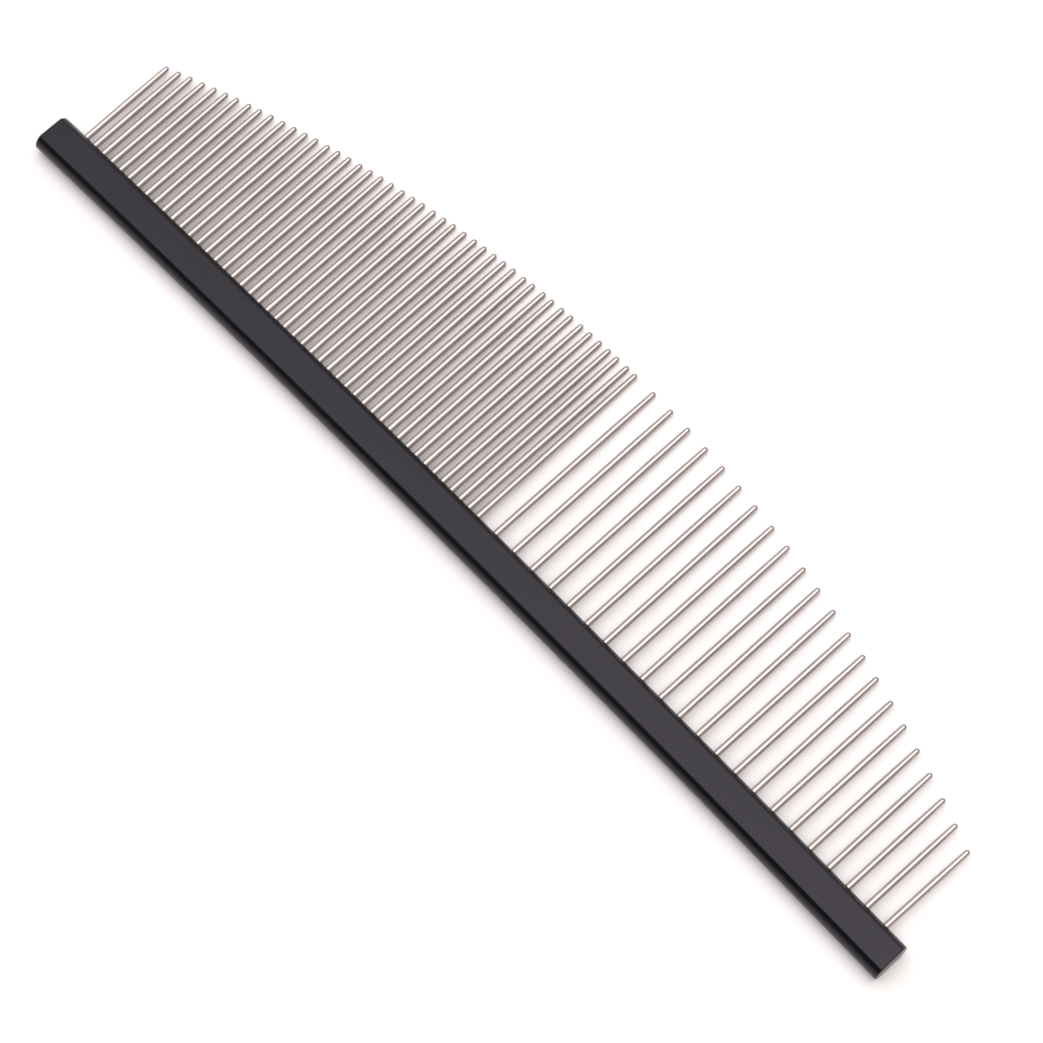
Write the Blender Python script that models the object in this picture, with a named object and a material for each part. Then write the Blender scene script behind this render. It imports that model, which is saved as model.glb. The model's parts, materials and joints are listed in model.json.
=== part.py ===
"""Steel grooming comb with two tooth spacings, in metres.

A black anodised aluminium spine holds one row of polished steel pins. The pins
stand close together on the -X side and wide apart on the +X side, and their
tips lie on one shallow arc. Nothing on the comb moves.

Frame: +X along the spine, +Y from the spine towards the pin tips, +Z up. The
origin is the middle of the spine's flat underside, so the comb lies on z = 0.
"""

import math

import bmesh
import bpy
from mathutils import Vector

# Spine: flat top and bottom, rounded sides, bowed a little towards the tips.
SPINE_LENGTH = 0.1900
SPINE_WIDTH = 0.00686
SPINE_FLAT_WIDTH = 0.0045
SPINE_THICKNESS = 0.0042
SPINE_BOW_RADIUS = 4.9
END_CHAMFER = 0.0004
SIDE_SEGMENTS = 6
LENGTH_SEGMENTS = 16

# Row of pins: how many, how far apart, and how far in from the spine's ends.
FINE_COUNT = 46
COARSE_COUNT = 22
FINE_PITCH = 0.00202
COARSE_PITCH = 0.00409
END_MARGIN = 0.0046

# One pin: a round wire, slightly tapered towards a rounded tip.
PIN_DIAMETER = 0.00117
TAPERED_DIAMETER = 0.00098
TAPER_LENGTH = 0.0080
TIP_LENGTH = 0.00048
TIP_RINGS = 4
ROOT_DEPTH = 0.0046

# The arc that the pin tips lie on.
TIP_ARC_RADIUS = 0.2412
TIP_REACH = 0.03824
TIP_ARC_SHIFT = -0.0006

# The outermost fine pins come in pairs, each pair one wire bent like a hairpin
# inside the spine, so that the comb is at most 60 solids.
PAIR_COUNT = 9
BEND_SEGMENTS = 6

# Sockets in the spine: room around each wire, and sides for each round section.
SOCKET_CLEARANCE = 0.0001
ROUND_RESOLUTION = 2

PIN_HEIGHT = SPINE_THICKNESS / 2
HALF_LENGTH = SPINE_LENGTH / 2


def new_collection(name, parent):
    collection = bpy.data.collections.new(name)
    parent.children.link(collection)
    return collection


def new_material(name, colour, roughness, metallic):
    material = bpy.data.materials.new(name)
    material.use_nodes = True
    shader = material.node_tree.nodes["Principled BSDF"]
    shader.inputs["Base Color"].default_value = (*colour, 1.0)
    shader.inputs["Roughness"].default_value = roughness
    shader.inputs["Metallic"].default_value = metallic
    material.diffuse_color = (*colour, 1.0)
    return material


def bowed(x, y=0.0):
    """A point y in front of the spine's bowed centre line, at pin height."""
    angle = x / SPINE_BOW_RADIUS
    sag = SPINE_BOW_RADIUS * (1.0 - math.cos(angle))
    return Vector((x + y * math.sin(angle), y * math.cos(angle) - sag, PIN_HEIGHT))


def pin_positions():
    """X of every pin: the fine pins from the -X end, the coarse from the +X end."""
    first = -HALF_LENGTH + END_MARGIN
    last = HALF_LENGTH - END_MARGIN
    fine = [first + FINE_PITCH * i for i in range(FINE_COUNT)]
    coarse = [last - COARSE_PITCH * i for i in range(COARSE_COUNT)]
    return fine, coarse[::-1]


def reach_to_arc(x):
    """Distance from the centre line, along the pin at x, to the arc of the tips."""
    start = bowed(x).xy
    direction = (bowed(x, 1.0).xy - start).normalized()
    to_start = start - Vector((TIP_ARC_SHIFT, TIP_REACH - TIP_ARC_RADIUS))
    along = to_start.dot(direction)
    return -along + math.sqrt(along**2 - to_start.length_squared + TIP_ARC_RADIUS**2)


def tip_rings(x):
    """(distance from the centre line, radius) from just below the taper to the tip."""
    reach = reach_to_arc(x)
    rings = [(reach - TAPER_LENGTH, PIN_DIAMETER / 2)]
    for i in range(TIP_RINGS):
        angle = math.pi / 2 * i / TIP_RINGS
        distance = reach - TIP_LENGTH * (1.0 - math.sin(angle))
        rings.append((distance, TAPERED_DIAMETER / 2 * math.cos(angle)))
    return rings


def outer_points(x):
    """(point, radius) of the wire at x, from its taper to its tip."""
    return [(bowed(x, distance), radius) for distance, radius in tip_rings(x)]


def single_wire(x):
    """(point, radius) along a straight pin, from its root to its tip."""
    root = SPINE_WIDTH / 2 - ROOT_DEPTH
    return [(bowed(x, root), PIN_DIAMETER / 2)] + outer_points(x)


def hairpin_wire(x_left, x_right):
    """(point, radius) along two pins and the bend that joins their roots."""
    middle = (x_left + x_right) / 2
    bend_radius = (x_right - x_left) / 2
    start = SPINE_WIDTH / 2 - ROOT_DEPTH + bend_radius + PIN_DIAMETER / 2
    bend = []
    for i in range(BEND_SEGMENTS + 1):
        angle = math.pi * i / BEND_SEGMENTS
        x = middle - bend_radius * math.cos(angle)
        bend.append((bowed(x, start - bend_radius * math.sin(angle)), PIN_DIAMETER / 2))
    return outer_points(x_left)[::-1] + bend + outer_points(x_right)


def wire_object(name, wire, material, collection, clearance=0.0):
    """A round wire through the points, each with its own radius."""
    curve = bpy.data.curves.new(name, "CURVE")
    curve.dimensions = "3D"
    curve.bevel_depth = PIN_DIAMETER / 2
    curve.bevel_resolution = ROUND_RESOLUTION
    curve.use_fill_caps = True
    spline = curve.splines.new("POLY")
    spline.points.add(len(wire) - 1)
    for point, (place, radius) in zip(spline.points, wire):
        point.co = (*place, 1.0)
        point.radius = (radius + clearance) / curve.bevel_depth
    curve.materials.append(material)
    wire_body = bpy.data.objects.new(name, curve)
    collection.objects.link(wire_body)
    return wire_body


def as_mesh(curve_object):
    """The curve object, made a closed mesh object of the same name and place."""
    name = curve_object.name
    bpy.context.view_layer.update()
    graph = bpy.context.evaluated_depsgraph_get()
    mesh = bpy.data.meshes.new_from_object(curve_object.evaluated_get(graph))
    edit = bmesh.new()
    edit.from_mesh(mesh)
    bmesh.ops.remove_doubles(edit, verts=edit.verts, dist=1e-6)
    bmesh.ops.recalc_face_normals(edit, faces=edit.faces)
    edit.to_mesh(mesh)
    edit.free()
    solid = bpy.data.objects.new(name + "_solid", mesh)
    solid.matrix_world = curve_object.matrix_world
    curve_object.users_collection[0].objects.link(solid)
    bpy.data.objects.remove(curve_object)
    solid.name = name
    return solid


def spine_section():
    """Outline of the spine's section: flat top and bottom, sides as arcs."""
    half_flat = SPINE_FLAT_WIDTH / 2
    half_height = SPINE_THICKNESS / 2
    bulge = (SPINE_WIDTH - SPINE_FLAT_WIDTH) / 2
    side_radius = (half_height**2 + bulge**2) / (2 * bulge)
    centre = SPINE_WIDTH / 2 - side_radius
    limit = math.atan2(half_height, half_flat - centre)
    side = []
    for i in range(SIDE_SEGMENTS + 1):
        angle = limit * (2 * i / SIDE_SEGMENTS - 1)
        side.append((centre + side_radius * math.cos(angle), side_radius * math.sin(angle)))
    return side + [(-across, -up) for across, up in side]


def make_spine(material, collection, cutters, sockets):
    """The section swept along the bowed centre line, with a socket for each wire."""
    section = bpy.data.curves.new("spine_section", "CURVE")
    section.dimensions = "2D"
    outline = section.splines.new("POLY")
    corners = spine_section()
    outline.points.add(len(corners) - 1)
    for point, (across, up) in zip(outline.points, corners):
        point.co = (across, up, 0.0, 1.0)
    outline.use_cyclic_u = True
    section_object = bpy.data.objects.new("spine_section", section)
    section_object.hide_render = True
    section_object.display_type = "WIRE"
    cutters.objects.link(section_object)

    path = bpy.data.curves.new("spine", "CURVE")
    path.dimensions = "3D"
    path.twist_mode = "Z_UP"
    path.bevel_mode = "OBJECT"
    path.bevel_object = section_object
    path.use_fill_caps = True
    full = HALF_LENGTH - END_CHAMFER
    inner = [full * (2 * i / LENGTH_SEGMENTS - 1) for i in range(LENGTH_SEGMENTS + 1)]
    spline = path.splines.new("POLY")
    spline.points.add(len(inner) + 1)
    for point, x in zip(spline.points, [-HALF_LENGTH, *inner, HALF_LENGTH]):
        point.co = (*bowed(x), 1.0)
    end_scale = 1.0 - 2 * END_CHAMFER / SPINE_WIDTH
    spline.points[0].radius = end_scale
    spline.points[-1].radius = end_scale
    path.materials.append(material)
    spine = bpy.data.objects.new("spine", path)
    collection.objects.link(spine)
    spine = as_mesh(spine)
    cut = spine.modifiers.new("sockets", "BOOLEAN")
    cut.operation = "DIFFERENCE"
    cut.operand_type = "COLLECTION"
    cut.collection = sockets
    spine.data.shade_smooth()
    spine.data.set_sharp_from_angle(angle=math.radians(25))
    return spine


def main():
    for item in list(bpy.data.objects):
        bpy.data.objects.remove(item)
    scene_collection = bpy.context.scene.collection
    parts = new_collection("grooming_comb", scene_collection)
    cutters = new_collection("grooming_comb_cutters", scene_collection)
    sockets = new_collection("grooming_comb_sockets", cutters)
    anodised = new_material("black_anodised", (0.030, 0.029, 0.033), 0.38, 0.0)
    steel = new_material("polished_steel", (0.62, 0.60, 0.58), 0.16, 1.0)

    fine, coarse = pin_positions()
    wires = {}
    for i in range(PAIR_COUNT):
        name = f"fine_pin_pair_{i + 1:02d}"
        wires[name] = hairpin_wire(fine[2 * i], fine[2 * i + 1])
    for i in range(2 * PAIR_COUNT, FINE_COUNT):
        wires[f"fine_pin_{i + 1:02d}"] = single_wire(fine[i])
    for i in range(COARSE_COUNT):
        wires[f"coarse_pin_{i + 1:02d}"] = single_wire(coarse[i])

    for name, wire in wires.items():
        wire_object(name, wire, steel, parts)
        cutter = wire_object(name + "_socket", wire, steel, sockets, SOCKET_CLEARANCE)
        cutter = as_mesh(cutter)
        cutter.hide_render = True
        cutter.display_type = "WIRE"
    make_spine(anodised, parts, cutters, sockets)


main()
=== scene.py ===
"""Looks of the steel grooming comb: a satin black spine and sixty-eight separate polished pins.

Row frame, metres: +X along the spine, +Y towards the pin tips, +Z up, origin under the spine's middle.
"""

import json
import math
import random

import bmesh
import bpy
from mathutils import Matrix, Vector

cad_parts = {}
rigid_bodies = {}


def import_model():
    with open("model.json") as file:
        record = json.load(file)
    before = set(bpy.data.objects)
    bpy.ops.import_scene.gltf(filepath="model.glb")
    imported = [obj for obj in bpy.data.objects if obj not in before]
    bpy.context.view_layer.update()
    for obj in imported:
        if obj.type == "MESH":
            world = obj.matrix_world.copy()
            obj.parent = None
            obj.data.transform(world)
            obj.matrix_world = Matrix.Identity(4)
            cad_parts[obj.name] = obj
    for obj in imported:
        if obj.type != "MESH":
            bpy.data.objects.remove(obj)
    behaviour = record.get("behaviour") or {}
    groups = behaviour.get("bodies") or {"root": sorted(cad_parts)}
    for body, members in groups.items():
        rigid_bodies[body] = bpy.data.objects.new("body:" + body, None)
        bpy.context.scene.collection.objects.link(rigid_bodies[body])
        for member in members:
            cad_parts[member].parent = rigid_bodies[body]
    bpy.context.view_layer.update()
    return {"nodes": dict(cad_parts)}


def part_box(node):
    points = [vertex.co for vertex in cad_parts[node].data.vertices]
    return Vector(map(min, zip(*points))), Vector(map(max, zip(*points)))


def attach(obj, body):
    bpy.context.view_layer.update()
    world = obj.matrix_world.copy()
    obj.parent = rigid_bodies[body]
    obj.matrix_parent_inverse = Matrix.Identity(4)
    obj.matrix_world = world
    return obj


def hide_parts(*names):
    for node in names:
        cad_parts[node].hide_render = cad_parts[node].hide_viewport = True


# The spine's section and its bow. Its length and thickness come from the frame.
SPINE_WIDTH = 0.00686
SPINE_FLAT_WIDTH = 0.0045
BOW_RADIUS = 4.9
CREASE_RADIUS = 0.00012
SIDE_STEPS = 30
CREASE_STEPS = 4
LENGTH_STEPS = 48

# The spine's eased ends: how long the easing is, and how far it draws the section in.
END_CHAMFER = 0.0003
END_INSET = 0.00016
END_STEPS = 5

# The wire that the pins are made of. Each pin's place and length come from the frame.
# TAPER_EASE is how much of the taper starts and ends softly. The rest of it is straight.
PIN_RADIUS = 0.000585
TIP_RADIUS = 0.00049
TAPER_LENGTH = 0.0080
TAPER_EASE = 0.5
BODY_STEPS = 6
TAPER_STEPS = 10
TIP_LENGTH = 0.00052
TIP_STEPS = 9
PIN_SIDES = 32
ROOT_BEVEL = 0.00010

# How far the pins' tips stray at random, sideways and up or down.
WANDER_ACROSS = 0.00007
WANDER_UP = 0.000035
WANDER_SEED = 7

# Sockets drilled in the spine for the pins.
ROOT_DEPTH = 0.0046
SOCKET_RADIUS = 0.00061
SOCKET_EXTRA_DEPTH = 0.0002
RIM_RADIUS = 0.00067
SOCKET_SIDES = 32

# Edges sharper than this many degrees stay sharp.
BAR_SMOOTH_ANGLE = 30.0
PIN_SMOOTH_ANGLE = 35.0

# Finishes: each colour and each roughness varies between two values, with procedural noise.
ANODISED_COLOURS = ((0.0018, 0.0015, 0.0024), (0.0030, 0.0025, 0.0038))
ANODISED_ROUGHNESS = (0.22, 0.29)
ANODISED_IOR = 1.376
ANODISED_TINT = (0.91, 0.845, 0.99)
STEEL_COLOURS = ((0.428, 0.385, 0.369), (0.470, 0.423, 0.405))
STEEL_ROUGHNESS = (0.15, 0.22)
FLOOR_COLOUR = (0.95, 0.934, 0.928)
FLOOR_ROUGHNESS = 0.9
FLOOR_SPECULAR = 0.1

# The noise values at which a finish reaches its two ends: for grain and lines, and for soft clouds.
GRAIN_RANGE = (0.3, 0.7)
CLOUD_RANGE = (0.35, 0.65)

# The camera, in degrees and metres. Its target lies in the plane of the pins' axes.
CAMERA_AZIMUTH = 44.375
CAMERA_ELEVATION = 69.42
CAMERA_ROLL = 2.007
CAMERA_DISTANCE = 0.6189
CAMERA_TARGET_X = 0.00575
CAMERA_TARGET_Y = 0.00782
CAMERA_LENS = 136.95
SENSOR_WIDTH = 36.0
CLIP_START = 0.01
CLIP_END = 20.0

# The floor, and how far the comb stays off it.
CLEARANCE = 0.00002
FLOOR_HALF = 4.0

# Lamps on a ceiling 1 m up: (centre in x and y, half widths, strength).
LAMPS = (
    ((0.1, 0.2), (0.42, 0.8), 2.55),
    ((-0.4, 0.2), (0.42, 0.8), 0.53),
    ((-0.9, 0.2), (0.42, 0.8), 0.63),
    ((-1.5, 0.2), (0.42, 0.8), 0.10),
    ((0.0, -1.3), (1.3, 0.6), 0.05),
    ((0.0, 1.7), (1.3, 0.6), 0.07),
)
LAMP_COLOUR = (1.0, 0.993, 0.989)
LOWEST_CEILING = 0.05

# Walls at -X and +X. In a direction's x, one gives way to the other between -WALL_BLEND and WALL_BLEND.
# In its |y| both fade over WALL_FADE, to WALL_REST of their strength.
WALL_STRENGTHS = (0.82, 0.60)
WALL_COLOURS = ((1.0, 0.99, 0.995), (1.0, 0.865, 0.85))
WALL_BLEND = 0.7
WALL_FADE = (0.3, 1.0)
WALL_REST = 0.12

# A glow low in front of the comb and one behind it, at +Y and at -Y, where the walls fade:
# (strength at the horizon, z of the direction at which it ends).
HORIZONS = ((0.44, 0.8), (0.45, 0.25))


def new_mesh_object(name, edit, smooth_angle):
    """A mesh object from a bmesh, shaded smooth but for edges sharper than smooth_angle degrees."""
    mesh = bpy.data.meshes.new(name)
    edit.to_mesh(mesh)
    edit.free()
    mesh.shade_smooth()
    mesh.set_sharp_from_angle(angle=math.radians(smooth_angle))
    made = bpy.data.objects.new(name, mesh)
    bpy.context.scene.collection.objects.link(made)
    return made


def loft(rings, closed_tip=None):
    """A closed bmesh through rings of points, capped at the start and capped or pointed at the end."""
    edit = bmesh.new()
    loops = [[edit.verts.new(point) for point in ring] for ring in rings]
    count = len(loops[0])
    for low, high in zip(loops, loops[1:]):
        for i in range(count):
            j = (i + 1) % count
            edit.faces.new((low[i], low[j], high[j], high[i]))
    edit.faces.new(loops[0][::-1])
    if closed_tip is None:
        edit.faces.new(loops[-1])
    else:
        point = edit.verts.new(closed_tip)
        for i in range(count):
            edit.faces.new((loops[-1][i], loops[-1][(i + 1) % count], point))
    bmesh.ops.recalc_face_normals(edit, faces=edit.faces)
    return edit


# ---------------------------------------------------------------- pins


class Pin:
    """One pin read from its CAD node. Its axis runs through the centre of the spine's bow."""

    def __init__(self, name, node, points):
        self.name = name
        self.node = node
        arms = [Vector((p.x, p.y + BOW_RADIUS)) for p in points]
        outer = [arm for arm in arms if arm.length > BOW_RADIUS + SPINE_WIDTH]
        bearings = [math.atan2(arm.x, arm.y) for arm in outer]
        bearing = (min(bearings) + max(bearings)) / 2
        heights = [p.z for p in points]
        self.direction = Vector((math.sin(bearing), math.cos(bearing), 0.0))
        self.bow_centre = Vector((0.0, -BOW_RADIUS, (min(heights) + max(heights)) / 2))
        self.tip = self.bow_centre + self.direction * max(arm.length for arm in outer)

    def root(self):
        """The point on the axis where the pin ends inside the spine."""
        return self.bow_centre + self.direction * (BOW_RADIUS + SPINE_WIDTH / 2 - ROOT_DEPTH)


def read_pins(nodes):
    """Every pin, in order from the fine end. A node that holds two pins gives two."""
    pins = []
    for node in sorted(nodes):
        if node == "spine":
            continue
        points = [vertex.co.copy() for vertex in nodes[node].data.vertices]
        low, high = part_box(node)
        middle = (low.x + high.x) / 2
        if "pair" in node:
            left = [p for p in points if p.x < middle]
            right = [p for p in points if p.x >= middle]
            number = 2 * int(node[-2:])
            pins.append(Pin(f"fine_pin_{number - 1:02d}_steel", node, left))
            pins.append(Pin(f"fine_pin_{number:02d}_steel", node, right))
        else:
            pins.append(Pin(f"{node}_steel", node, points))
    return sorted(pins, key=lambda pin: pin.tip.x)


def pin_profile(length):
    """(distance from the root, radius) pairs: bevelled root, long body, slow taper, rounded tip."""
    profile = [(0.0, PIN_RADIUS - ROOT_BEVEL), (ROOT_BEVEL, PIN_RADIUS)]
    shoulder = length - TAPER_LENGTH
    for i in range(1, BODY_STEPS):
        profile.append((ROOT_BEVEL + (shoulder - ROOT_BEVEL) * i / BODY_STEPS, PIN_RADIUS))
    for i in range(TAPER_STEPS + 1):
        share = i / TAPER_STEPS
        eased = share * share * (3.0 - 2.0 * share)
        narrowing = eased * TAPER_EASE + share * (1.0 - TAPER_EASE)
        distance = shoulder + (TAPER_LENGTH - TIP_LENGTH) * share
        profile.append((distance, PIN_RADIUS + (TIP_RADIUS - PIN_RADIUS) * narrowing))
    for i in range(1, TIP_STEPS):
        angle = math.pi / 2 * i / TIP_STEPS
        distance = length - TIP_LENGTH * (1.0 - math.sin(angle))
        profile.append((distance, TIP_RADIUS * math.cos(angle)))
    return profile


def make_pin(pin, material, rng):
    """The steel pin, leaning a hair off true as pressed pins do."""
    root = pin.root()
    length = (pin.tip - root).length
    up = Vector((0.0, 0.0, 1.0))
    across = pin.direction.cross(up).normalized()
    lean = across * rng.gauss(0.0, WANDER_ACROSS) + up * rng.gauss(0.0, WANDER_UP)
    rings = []
    for distance, radius in pin_profile(length):
        free = max(0.0, distance - ROOT_DEPTH) / (length - ROOT_DEPTH)
        centre = root + pin.direction * distance + lean * free
        ring = []
        for i in range(PIN_SIDES):
            angle = math.tau * i / PIN_SIDES
            offset = across * math.cos(angle) + up * math.sin(angle)
            ring.append(centre + offset * radius)
        rings.append(ring)
    tip = root + pin.direction * length + lean
    made = new_mesh_object(pin.name, loft(rings, tip), PIN_SMOOTH_ANGLE)
    made.data.materials.append(material)
    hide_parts(pin.node)
    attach(made, "root")


# ---------------------------------------------------------------- spine


def arc(centre, radius, start, end, steps):
    """Points of a circular arc, from angle start to angle end, both included."""
    angles = [start + (end - start) * i / steps for i in range(steps + 1)]
    return [(centre[0] + radius * math.cos(a), centre[1] + radius * math.sin(a)) for a in angles]


def half_section(half_height):
    """(across, up) points of the section's +Y half, from the underside to the top."""
    half_flat = SPINE_FLAT_WIDTH / 2
    bulge = (SPINE_WIDTH - SPINE_FLAT_WIDTH) / 2
    side_radius = (half_height**2 + bulge**2) / (2 * bulge)
    centre = SPINE_WIDTH / 2 - side_radius
    # The crease is a small arc that touches both the flat and the side.
    inner = side_radius - CREASE_RADIUS
    crease_up = half_height - CREASE_RADIUS
    crease_across = centre + math.sqrt(inner**2 - crease_up**2)
    limit = math.atan2(crease_up, crease_across - centre)
    top = arc((crease_across, crease_up), CREASE_RADIUS, limit, math.pi / 2, CREASE_STEPS)
    side = arc((centre, 0.0), side_radius, -limit, limit, SIDE_STEPS)
    bottom = [(across, -up) for across, up in reversed(top)]
    return bottom[:-1] + side + top[1:]


def make_spine(low, high, pins, material):
    """The bowed bar with softened creases, eased ends and a drilled socket for each pin."""
    half_height = (high.z - low.z) / 2
    half_length = (high.x - low.x) / 2
    side = half_section(half_height)
    section = side + [(-across, -up) for across, up in side]
    stations = []
    for i in range(LENGTH_STEPS + 1):
        stations.append(((half_length - END_CHAMFER) * (2 * i / LENGTH_STEPS - 1), 0.0))
    ends = []
    for i in range(1, END_STEPS + 1):
        angle = math.pi / 2 * i / END_STEPS
        along = half_length - END_CHAMFER * (1.0 - math.sin(angle))
        ends.append((along, END_INSET * (1.0 - math.cos(angle))))
    stations = [(-x, inset) for x, inset in reversed(ends)] + stations + ends
    rings = []
    for x, inset in stations:
        angle = x / BOW_RADIUS
        ring = []
        for across, up in section:
            size = math.hypot(across, up)
            across *= 1.0 - inset / size
            up *= 1.0 - inset / size
            y = across * math.cos(angle) - BOW_RADIUS * (1.0 - math.cos(angle))
            ring.append(Vector((x, y, up + half_height + low.z)))
        rings.append(ring)
    spine = new_mesh_object("spine_bar", loft(rings), BAR_SMOOTH_ANGLE)
    spine.data.materials.append(material)
    drill_sockets(spine, pins)
    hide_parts("spine")
    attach(spine, "root")


def drill_sockets(spine, pins):
    """Cuts one blind hole with a small countersink in the spine for each pin."""
    edit = bmesh.new()
    for pin in pins:
        root = pin.root()
        up = Vector((0.0, 0.0, 1.0))
        across = pin.direction.cross(up).normalized()
        rim = RIM_RADIUS - SOCKET_RADIUS
        profile = [
            (-SOCKET_EXTRA_DEPTH, SOCKET_RADIUS),
            (ROOT_DEPTH - rim, SOCKET_RADIUS),
            (ROOT_DEPTH + rim, RIM_RADIUS + rim),
        ]
        loops = []
        for distance, radius in profile:
            loop = []
            for i in range(SOCKET_SIDES):
                angle = math.tau * i / SOCKET_SIDES
                offset = (across * math.cos(angle) + up * math.sin(angle)) * radius
                loop.append(edit.verts.new(root + pin.direction * distance + offset))
            loops.append(loop)
        for lower, upper in zip(loops, loops[1:]):
            for i in range(SOCKET_SIDES):
                j = (i + 1) % SOCKET_SIDES
                edit.faces.new((lower[i], lower[j], upper[j], upper[i]))
        edit.faces.new(loops[0][::-1])
        edit.faces.new(loops[-1])
    bmesh.ops.recalc_face_normals(edit, faces=edit.faces)
    drills = new_mesh_object("drills", edit, BAR_SMOOTH_ANGLE)
    cut = spine.modifiers.new("sockets", "BOOLEAN")
    cut.operation = "DIFFERENCE"
    cut.object = drills
    bpy.context.view_layer.update()
    graph = bpy.context.evaluated_depsgraph_get()
    mesh = bpy.data.meshes.new_from_object(spine.evaluated_get(graph))
    spine.modifiers.clear()
    spine.data = mesh
    bpy.data.objects.remove(drills)
    mesh.set_sharp_from_angle(angle=math.radians(BAR_SMOOTH_ANGLE))


# ---------------------------------------------------------------- materials


class Nodes:
    """Short calls for a material's node tree."""

    def __init__(self, name):
        self.material = bpy.data.materials.new(name)
        self.material.use_nodes = True
        self.tree = self.material.node_tree
        self.shader = self.tree.nodes["Principled BSDF"]

    def add(self, kind):
        return self.tree.nodes.new(kind)

    def link(self, source, target):
        self.tree.links.new(source, target)

    def coordinates(self, scale):
        """Object coordinates, stretched by scale."""
        place = self.add("ShaderNodeTexCoord")
        mapping = self.add("ShaderNodeMapping")
        mapping.inputs["Scale"].default_value = scale
        self.link(place.outputs["Object"], mapping.inputs["Vector"])
        return mapping.outputs["Vector"]

    def noise(self, scale, detail, stretch=(1.0, 1.0, 1.0)):
        """Noise on the object's coordinates, drawn out along an axis whose stretch is small."""
        texture = self.add("ShaderNodeTexNoise")
        texture.inputs["Scale"].default_value = scale
        texture.inputs["Detail"].default_value = detail
        self.link(self.coordinates(stretch), texture.inputs["Vector"])
        return texture.outputs["Fac"]

    def ramp(self, value, low, high, out_low, out_high):
        """Maps value from low..high to out_low..out_high, clamped."""
        node = self.add("ShaderNodeMapRange")
        for key, number in (
            ("From Min", low),
            ("From Max", high),
            ("To Min", out_low),
            ("To Max", out_high),
        ):
            node.inputs[key].default_value = number
        self.link(value, node.inputs["Value"])
        return node.outputs["Result"]

    def mix(self, factor, first, second):
        """The colour between two colours at a factor from 0 to 1."""
        node = self.add("ShaderNodeMix")
        node.data_type = "RGBA"
        node.inputs[6].default_value = (*first, 1.0)
        node.inputs[7].default_value = (*second, 1.0)
        self.link(factor, node.inputs[0])
        return node.outputs[2]

    def bump(self, height, strength, distance, normal=None):
        """A normal bent by height, on top of another bent normal if one is given."""
        node = self.add("ShaderNodeBump")
        node.inputs["Strength"].default_value = strength
        node.inputs["Distance"].default_value = distance
        self.link(height, node.inputs["Height"])
        if normal is not None:
            self.link(normal, node.inputs["Normal"])
        return node.outputs["Normal"]


def anodised_material():
    """Satin black anodised aluminium: etched grain, faint extrusion lines, small colour variation."""
    nodes = Nodes("black_anodised_satin")
    shader = nodes.shader
    grain = nodes.noise(scale=9000.0, detail=2.0)
    lines = nodes.noise(scale=2600.0, detail=2.0, stretch=(0.02, 1.0, 1.0))
    cloud = nodes.ramp(nodes.noise(scale=70.0, detail=4.0), *CLOUD_RANGE, 0.0, 1.0)
    nodes.link(nodes.mix(cloud, *ANODISED_COLOURS), shader.inputs["Base Color"])
    nodes.link(nodes.ramp(grain, *GRAIN_RANGE, *ANODISED_ROUGHNESS), shader.inputs["Roughness"])
    etched = nodes.bump(grain, strength=0.05, distance=0.00002)
    normal = nodes.bump(lines, strength=0.02, distance=0.00003, normal=etched)
    nodes.link(normal, shader.inputs["Normal"])
    shader.inputs["Metallic"].default_value = 0.0
    shader.inputs["IOR"].default_value = ANODISED_IOR
    shader.inputs["Specular Tint"].default_value = (*ANODISED_TINT, 1.0)
    return nodes.material


def steel_material():
    """Polished stainless wire: fine lines along the pin, small variation in gloss and tone."""
    nodes = Nodes("polished_steel_wire")
    shader = nodes.shader
    lines = nodes.noise(scale=5200.0, detail=3.0, stretch=(1.0, 0.03, 1.0))
    patches = nodes.noise(scale=420.0, detail=3.0, stretch=(1.0, 0.35, 1.0))
    patches = nodes.ramp(patches, *CLOUD_RANGE, 0.0, 1.0)
    nodes.link(nodes.mix(patches, *STEEL_COLOURS), shader.inputs["Base Color"])
    nodes.link(nodes.ramp(lines, *GRAIN_RANGE, *STEEL_ROUGHNESS), shader.inputs["Roughness"])
    nodes.link(nodes.bump(lines, strength=0.02, distance=0.00001), shader.inputs["Normal"])
    shader.inputs["Metallic"].default_value = 1.0
    return nodes.material


def floor_material():
    """Plain matt white."""
    nodes = Nodes("pale_floor")
    nodes.shader.inputs["Base Color"].default_value = (*FLOOR_COLOUR, 1.0)
    nodes.shader.inputs["Roughness"].default_value = FLOOR_ROUGHNESS
    nodes.shader.inputs["Specular IOR Level"].default_value = FLOOR_SPECULAR
    return nodes.material


# ---------------------------------------------------------------- stage


def make_floor(pins):
    """A pale floor, tilted to lie under the spine's front lower edge and the longest pins' tips."""
    edge_y = SPINE_FLAT_WIDTH / 2
    pin_height = pins[0].tip.z
    longest = max(pins, key=lambda pin: pin.tip.y)
    slope = (pin_height - TIP_RADIUS - CLEARANCE) / (longest.tip.y - TIP_LENGTH - edge_y)
    edit = bmesh.new()
    bmesh.ops.create_grid(edit, x_segments=1, y_segments=1, size=FLOOR_HALF)
    floor = new_mesh_object("floor", edit, BAR_SMOOTH_ANGLE)
    place = Matrix.Translation((0.0, edge_y, -CLEARANCE))
    floor.matrix_world = place @ Matrix.Rotation(math.atan(slope), 4, "X")
    floor.data.materials.append(floor_material())


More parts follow.
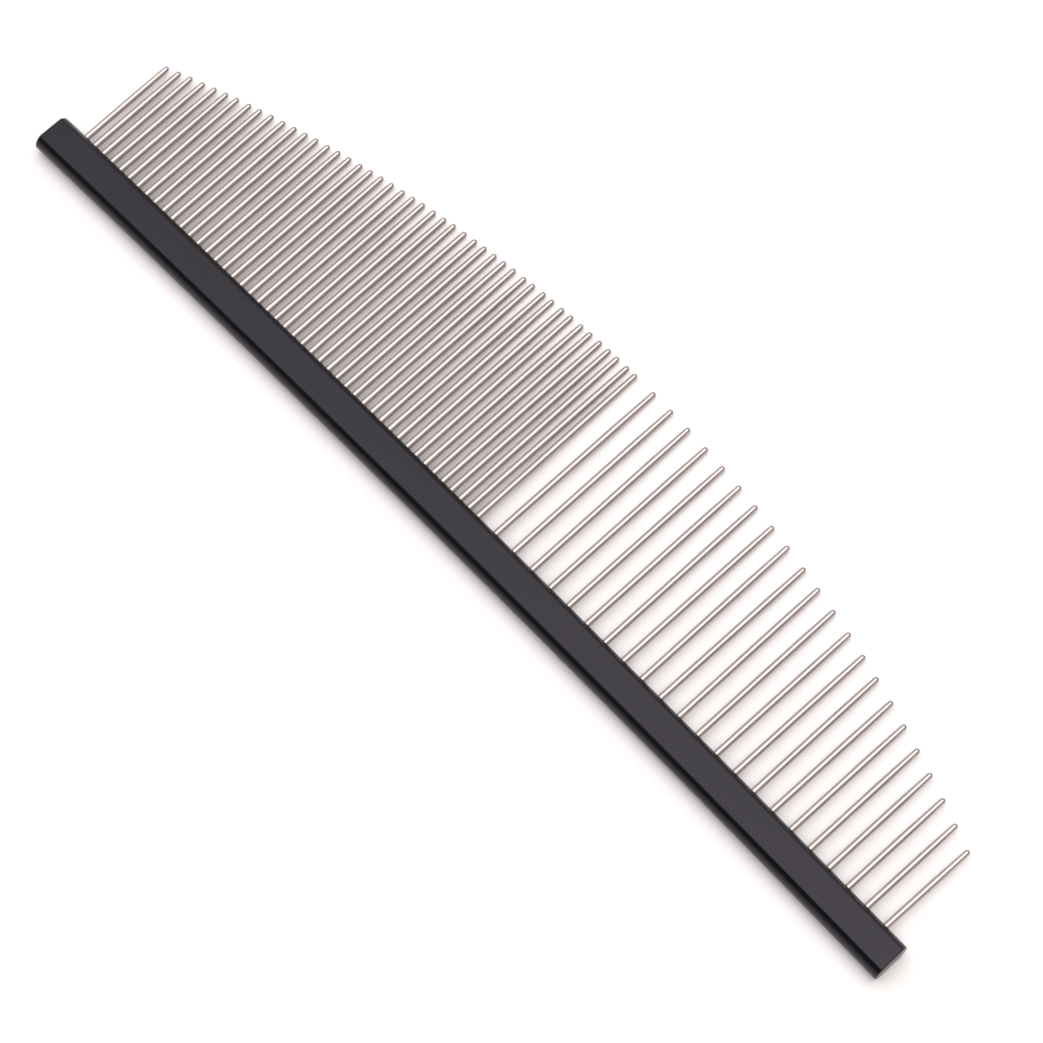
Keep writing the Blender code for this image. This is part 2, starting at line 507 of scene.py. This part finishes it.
def make_light():
    """Soft studio light, made in the world: lamps on a ceiling, two dim walls, a low horizon."""
    world = bpy.data.worlds.new("studio")
    bpy.context.scene.world = world
    world.use_nodes = True
    tree = world.node_tree

    def add(kind, *sources, **values):
        """The first output of a new node, with each source linked or written to its own input."""
        node = tree.nodes.new(kind)
        for key, value in values.items():
            setattr(node, key, value)
        for socket, source in zip(node.inputs, sources):
            if isinstance(source, bpy.types.NodeSocket):
                tree.links.new(source, socket)
            else:
                socket.default_value = source
        return node.outputs[0]

    def maths(operation, *sources):
        return add("ShaderNodeMath", *sources, operation=operation)

    def background(colour, strength):
        return add("ShaderNodeBackground", (*colour, 1.0), strength)

    def smooth(source, *numbers):
        """Maps source from the first two numbers to the last two, with soft ends."""
        return add("ShaderNodeMapRange", source, *numbers, interpolation_type="SMOOTHSTEP")

    def glow(centre, spread, strength):
        """Light that fades like a bell curve around a place on the ceiling."""
        squares = []
        for where, middle, width in zip(place, centre, spread):
            away = maths("MULTIPLY", maths("SUBTRACT", where, middle), 1.0 / width)
            squares.append(maths("MULTIPLY", away, away))
        fade = maths("POWER", math.exp(-1.0), maths("ADD", *squares))
        return maths("MULTIPLY", fade, strength)

    split = tree.nodes.new("ShaderNodeSeparateXYZ")
    tree.links.new(tree.nodes.new("ShaderNodeTexCoord").outputs["Generated"], split.inputs[0])
    x, y, z = split.outputs
    height = maths("MAXIMUM", z, LOWEST_CEILING)
    place = (maths("DIVIDE", x, height), maths("DIVIDE", y, height))
    ceiling = 0.0
    for lamp in LAMPS:
        ceiling = maths("ADD", ceiling, glow(*lamp))
    light = background(LAMP_COLOUR, ceiling)
    sides = smooth(maths("ABSOLUTE", y), *WALL_FADE, 1.0, WALL_REST)
    shares = (
        smooth(x, -WALL_BLEND, WALL_BLEND, 1.0, 0.0),
        smooth(x, -WALL_BLEND, WALL_BLEND, 0.0, 1.0),
    )
    for share, strength, colour in zip(shares, WALL_STRENGTHS, WALL_COLOURS):
        wall = maths("MULTIPLY", maths("MULTIPLY", share, sides), strength)
        light = add("ShaderNodeAddShader", light, background(colour, wall))
    for side, (strength, top) in zip((y, maths("MULTIPLY", y, -1.0)), HORIZONS):
        low = smooth(z, 0.0, top, strength, 0.0)
        horizon = maths("MULTIPLY", low, smooth(side, *WALL_FADE, 0.0, 1.0))
        light = add("ShaderNodeAddShader", light, background(LAMP_COLOUR, horizon))
    backdrop = background((1.0, 1.0, 1.0), 1.0)
    mixed = add("ShaderNodeMixShader", add("ShaderNodeLightPath"), light, backdrop)
    tree.links.new(mixed, tree.nodes["World Output"].inputs["Surface"])


def make_camera(pin_height):
    """The camera looks down on the comb from the coarse end's back side."""
    azimuth = math.radians(CAMERA_AZIMUTH)
    elevation = math.radians(CAMERA_ELEVATION)
    roll = math.radians(CAMERA_ROLL)
    back = Vector((
        math.sin(azimuth) * math.cos(elevation),
        -math.cos(azimuth) * math.cos(elevation),
        math.sin(elevation),
    ))
    data = bpy.data.cameras.new("camera")
    data.lens = CAMERA_LENS
    data.sensor_width = SENSOR_WIDTH
    data.clip_start = CLIP_START
    data.clip_end = CLIP_END
    camera = bpy.data.objects.new("camera", data)
    bpy.context.scene.collection.objects.link(camera)
    target = Vector((CAMERA_TARGET_X, CAMERA_TARGET_Y, pin_height))
    right = Vector((math.cos(azimuth), math.sin(azimuth), 0.0))
    up = back.cross(right)
    turned_right = right * math.cos(roll) + up * math.sin(roll)
    turned_up = up * math.cos(roll) - right * math.sin(roll)
    turn = Matrix((turned_right, turned_up, back)).transposed()
    camera.matrix_world = Matrix.Translation(target + back * CAMERA_DISTANCE) @ turn.to_4x4()
    bpy.context.scene.camera = camera


# ---------------------------------------------------------------- all of it

for item in list(bpy.data.objects):
    bpy.data.objects.remove(item)
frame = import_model()

pins = read_pins(frame["nodes"])
make_camera(pins[0].tip.z)
steel = steel_material()
wander = random.Random(WANDER_SEED)
for one in pins:
    make_pin(one, steel, wander)
spine_low, spine_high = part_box("spine")
make_spine(spine_low, spine_high, pins, anodised_material())
make_floor(pins)
make_light()
bpy.context.scene.view_settings.view_transform = "Standard"
